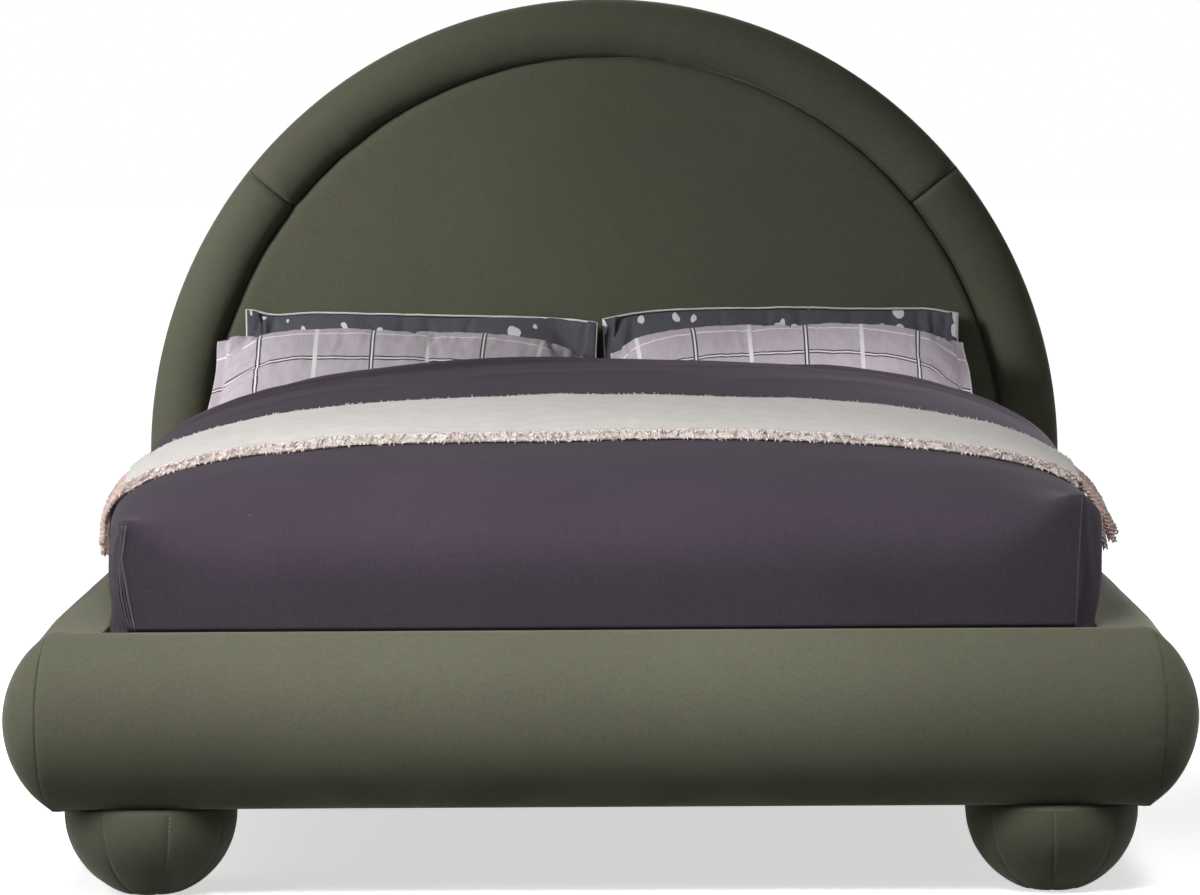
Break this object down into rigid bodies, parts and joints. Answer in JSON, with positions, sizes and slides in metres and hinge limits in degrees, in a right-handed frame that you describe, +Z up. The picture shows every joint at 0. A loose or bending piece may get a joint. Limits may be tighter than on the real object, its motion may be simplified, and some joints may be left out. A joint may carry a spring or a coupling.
{
  "type": "upholstered platform bed",
  "caption": "Queen-size upholstered platform bed with an arched padded headboard, bolster rails and ball feet, dressed with a mattress, duvet, fringed throw and pillows.",
  "frame": {"origin": "on the floor, at the middle of the bed's bounding box", "axes": "+Z up, +Y towards the headboard, +X to the right seen from the foot end"},
  "size_m": [1.85, 2.345, 1.434],
  "materials": {
    "velvet": "matte",
    "pine": "matte",
    "plywood": "matte",
    "steel": "satin",
    "black_plastic": "matte",
    "ticking": "matte",
    "duvet_cotton": "matte",
    "throw_wool": "matte",
    "fringe_wool": "matte",
    "check_cotton": "matte",
    "slate_cotton": "matte"
  },
  "bodies": {
    "frame": {"headboard_board": "plywood", "headboard_post_left": "pine", "headboard_post_right": "pine", "headboard_cross_rail": "pine", "headboard_back_cover": "velvet", "headboard_panel": "velvet", "headboard_roll_left": "velvet", "headboard_roll_top": "velvet", "headboard_roll_right": "velvet", "side_rail_board_left": "pine", "side_rail_board_right": "pine", "side_rail_cover_left": "velvet", "side_rail_cover_right": "velvet", "foot_rail_board": "pine", "foot_rail_cover": "velvet", "rail_formers": "plywood", "slat_ledge_left": "pine", "slat_ledge_right": "pine", "corner_bracket_front_left": "steel", "corner_bracket_front_right": "steel", "corner_bracket_back_left": "steel", "corner_bracket_back_right": "steel", "frame_bolts": "steel", "slat_screws": "steel", "foot_plates": "plywood", "centre_beam": "pine", "beam_hangers": "steel", "centre_leg": "pine", "slat_1": "pine", "slat_2": "pine", "slat_3": "pine", "slat_4": "pine", "slat_5": "pine", "slat_6": "pine", "slat_7": "pine", "slat_8": "pine", "slat_9": "pine", "slat_10": "pine", "slat_11": "pine", "slat_12": "pine", "foot_core_front_left": "pine", "foot_core_front_right": "pine", "foot_core_back_left": "pine", "foot_core_back_right": "pine", "foot_cover_front_left": "velvet", "foot_cover_front_right": "velvet", "foot_cover_back_left": "velvet", "foot_cover_back_right": "velvet", "foot_bolts": "steel"},
    "leveller": {"leveller": "black_plastic"},
    "mattress": {"mattress": "ticking"},
    "duvet": {"duvet": "duvet_cotton"},
    "throw": {"throw": "throw_wool", "throw_fringe_left": "fringe_wool", "throw_fringe_right": "fringe_wool"},
    "pillow_back_left": {"pillow_back_left": "slate_cotton"},
    "pillow_front_left": {"pillow_front_left": "check_cotton"},
    "pillow_back_right": {"pillow_back_right": "slate_cotton"},
    "pillow_front_right": {"pillow_front_right": "check_cotton"}
  },
  "joints": [
    {"name": "leveller_screw", "type": "slide", "parent": "frame", "child": "leveller", "axis": [0, 0, -1], "range_m": [0, 0.012]},
    {"name": "mattress_lift", "type": "slide", "parent": "frame", "child": "mattress", "axis": [0, 0, 1], "range_m": [0, 0.3]},
    {"name": "duvet_lift", "type": "slide", "parent": "mattress", "child": "duvet", "axis": [0, 0, 1], "range_m": [0, 0.3]},
    {"name": "throw_lift", "type": "slide", "parent": "duvet", "child": "throw", "axis": [0, 0, 1], "range_m": [0, 0.2]},
    {"name": "pillow_back_left_lift", "type": "slide", "parent": "mattress", "child": "pillow_back_left", "axis": [0, 0, 1], "range_m": [0, 0.25]},
    {"name": "pillow_front_left_lift", "type": "slide", "parent": "pillow_back_left", "child": "pillow_front_left", "axis": [0, 0, 1], "range_m": [0, 0.2]},
    {"name": "pillow_back_right_lift", "type": "slide", "parent": "mattress", "child": "pillow_back_right", "axis": [0, 0, 1], "range_m": [0, 0.25]},
    {"name": "pillow_front_right_lift", "type": "slide", "parent": "pillow_back_right", "child": "pillow_front_right", "axis": [0, 0, 1], "range_m": [0, 0.2]}
  ]
}
